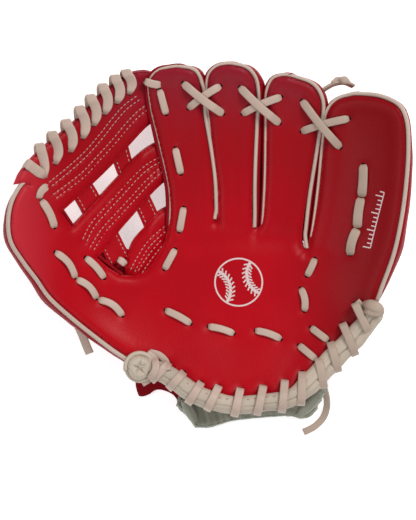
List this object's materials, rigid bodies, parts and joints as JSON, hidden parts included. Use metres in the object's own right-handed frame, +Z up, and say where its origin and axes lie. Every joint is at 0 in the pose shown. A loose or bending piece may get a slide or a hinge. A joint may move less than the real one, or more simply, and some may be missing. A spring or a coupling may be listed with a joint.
{
  "type": "fielders glove",
  "caption": "Left-hand leather fielder's glove lying open on its back, with separate finger stalls, basket web, laced heel and two folding sides.",
  "frame": {"origin": "bottom centre of the glove's bounding box, on the ground under the palm", "axes": "+Z up out of the pocket, +Y towards the fingertips, -X towards the thumb"},
  "size_m": [0.2947, 0.2781, 0.0874],
  "materials": {
    "palm_leather": "satin",
    "back_leather": "satin",
    "lace": "satin",
    "binding": "satin",
    "welt": "satin",
    "felt": "matte",
    "lining": "matte"
  },
  "bodies": {
    "palm": {"palm_front": "palm_leather", "index_back": "back_leather", "middle_back": "back_leather", "ring_back": "back_leather", "index_welt": "welt", "middle_welt": "welt", "ring_welt": "welt", "hand_back": "back_leather", "palm_pad": "felt", "heel_pad": "felt", "palm_lining": "lining", "back_lining": "lining", "palm_lace": "lace", "index_lace": "lace", "index_middle_lace_under": "lace", "index_middle_lace_over": "lace", "middle_ring_lace_under": "lace", "middle_ring_lace_over": "lace", "ring_little_lace_under": "lace", "ring_little_lace_over": "lace", "heel_lace": "lace", "heel_binding": "binding", "binding_end_coil": "binding", "wrist_strap": "back_leather", "wrist_strap_lining": "lining", "heel_lace_tail": "lace"},
    "thumb_side": {"thumb_front": "palm_leather", "thumb_back": "back_leather", "thumb_welt": "welt", "thumb_pad": "felt", "web_top_band": "palm_leather", "web_middle_band": "palm_leather", "web_bottom_band": "palm_leather", "web_strip_inner": "palm_leather", "web_strip_outer": "palm_leather", "thumb_row_lace": "lace", "web_thumb_lace_upper": "lace", "web_thumb_lace_lower": "lace", "web_edge_lace": "lace", "thumb_lace_end": "lace", "thumb_loop": "lining"},
    "little_side": {"little_front": "palm_leather", "little_back": "back_leather", "little_welt": "welt", "little_finger_pad": "felt", "little_finger_lace": "lace", "side_lace_upper": "lace", "side_lace_middle": "lace", "side_lace_lower": "lace", "little_heel_lace": "lace", "little_heel_binding": "binding", "little_heel_knot": "lace", "finger_back_lace": "lace", "finger_back_knot": "lace", "little_finger_loop": "lining"}
  },
  "joints": [
    {"name": "thumb_fold", "type": "hinge", "parent": "palm", "child": "thumb_side", "pos_m": [-0.0455, 0.0195, 0.053], "axis": [0, 0.9994, 0.034], "range_deg": [0, 40]},
    {"name": "little_fold", "type": "hinge", "parent": "palm", "child": "little_side", "pos_m": [0.0719, -0.0005, 0.057], "axis": [-0.1188, -0.9929, 0], "range_deg": [0, 35], "deforming": ["ring_little_lace_under", "ring_little_lace_over"]}
  ]
}
